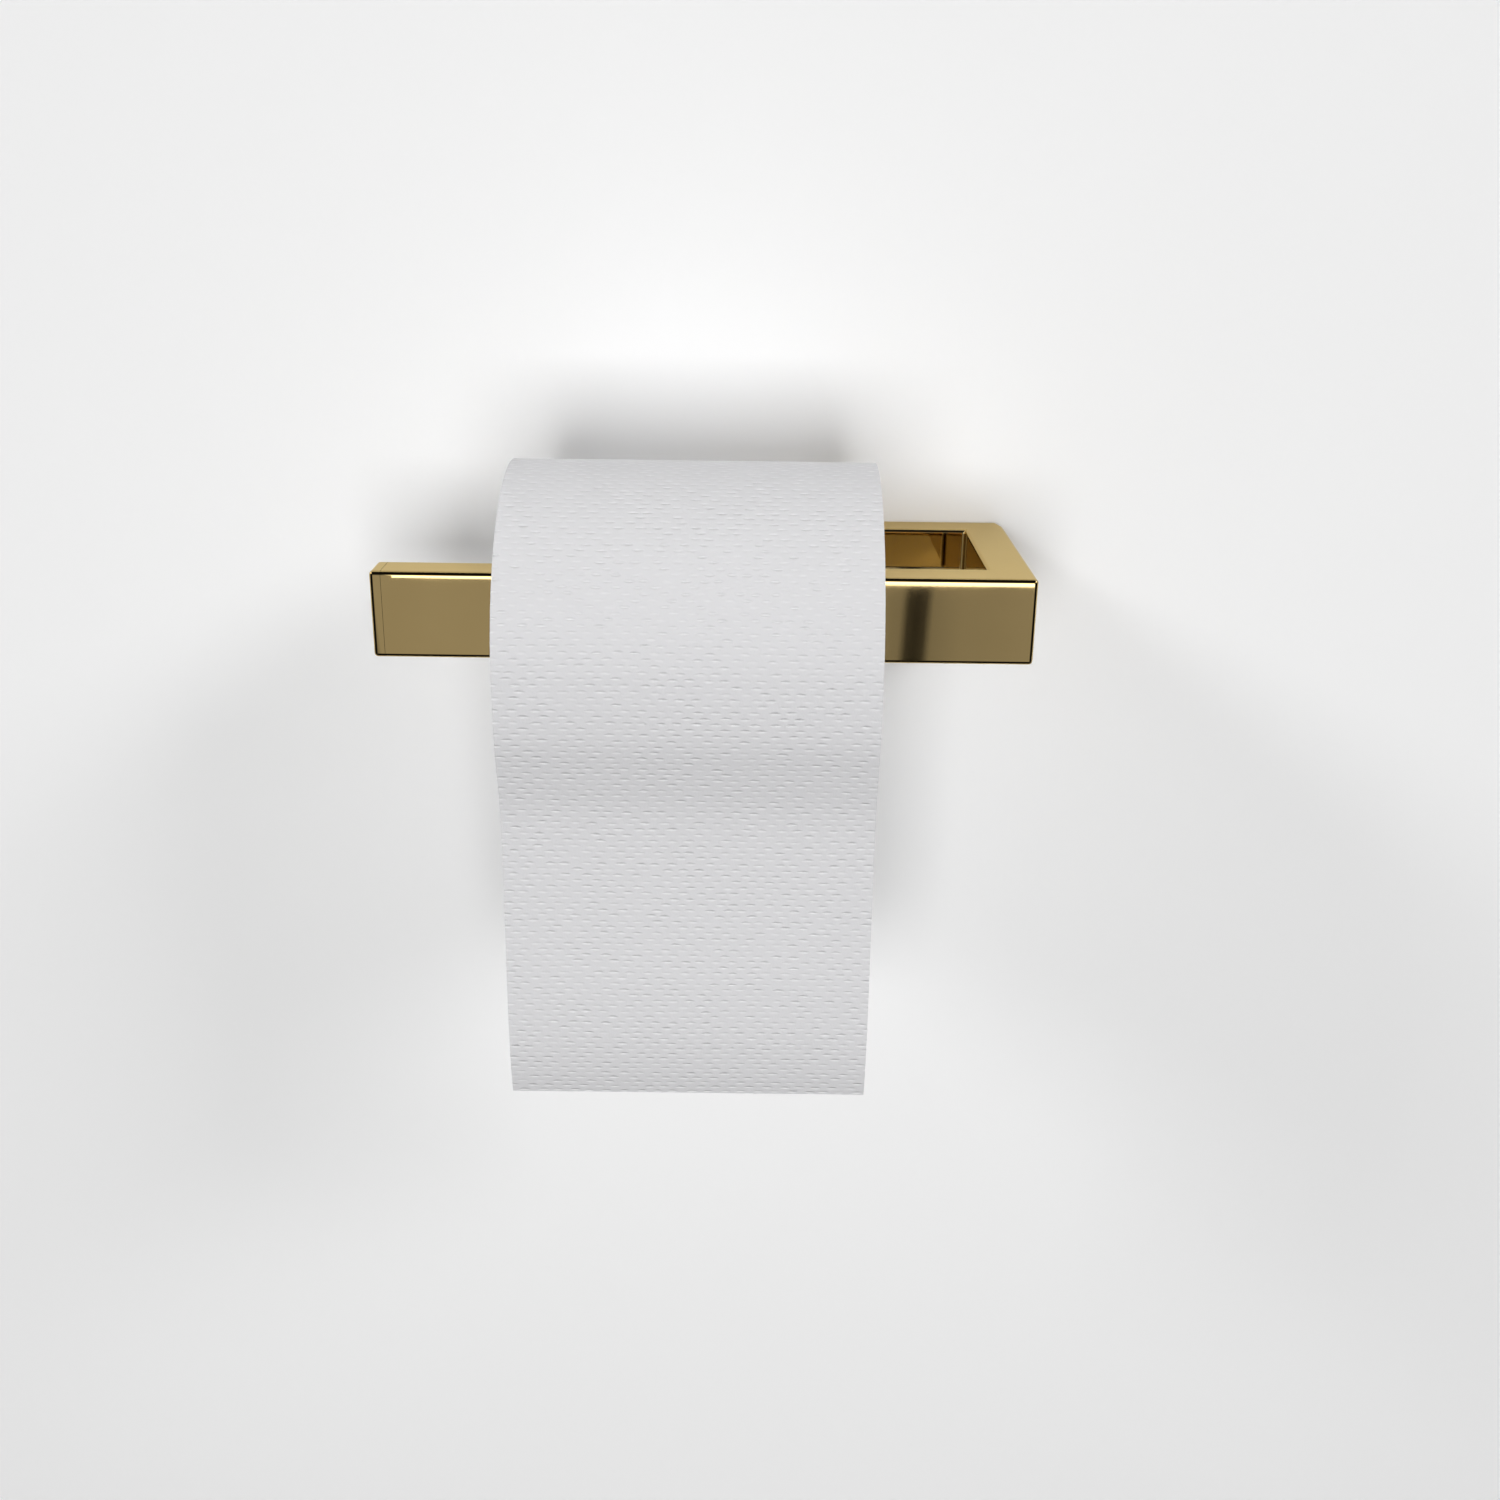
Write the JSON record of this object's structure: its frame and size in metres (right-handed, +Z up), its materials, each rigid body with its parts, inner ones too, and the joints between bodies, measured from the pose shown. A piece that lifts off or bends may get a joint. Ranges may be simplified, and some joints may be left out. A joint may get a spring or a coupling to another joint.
{
  "type": "toilet paper holder",
  "caption": "Wall-mounted toilet paper holder: a squared C-shaped brass frame, open at one end, with a paper roll hanging on its front bar and a loose sheet hanging down.",
  "frame": {"origin": "on the wall plane, at the middle of the wall bracket's rear face", "axes": "+X along the bars from the free end to the side arm, +Y into the wall, +Z up; the front faces -Y"},
  "size_m": [0.187, 0.1565, 0.1741],
  "materials": {
    "brass": "satin",
    "steel": "satin",
    "nylon": "matte",
    "card": "matte",
    "paper": "matte"
  },
  "bodies": {
    "holder": {"front_bar": "brass", "side_arm": "brass", "wall_rail": "brass", "end_cap": "brass", "wall_bracket": "steel", "washer_1": "steel", "washer_2": "steel", "wall_screw_1": "steel", "wall_screw_2": "steel", "wall_plug_1": "nylon", "wall_plug_2": "nylon", "grub_screw_1": "steel", "grub_screw_2": "steel"},
    "sheet": {"loose_sheet": "paper"},
    "roll": {"core_tube": "card", "paper_roll": "paper"}
  },
  "joints": [
    {"name": "roll_slide", "type": "slide", "parent": "holder", "child": "sheet", "axis": [1, 0, 0], "range_m": [-0.15, 0.032]},
    {"name": "roll_spin", "type": "hinge", "parent": "sheet", "child": "roll", "pos_m": [-0.04, -0.069, -0.00731], "axis": [1, 0, 0], "continuous": true}
  ]
}
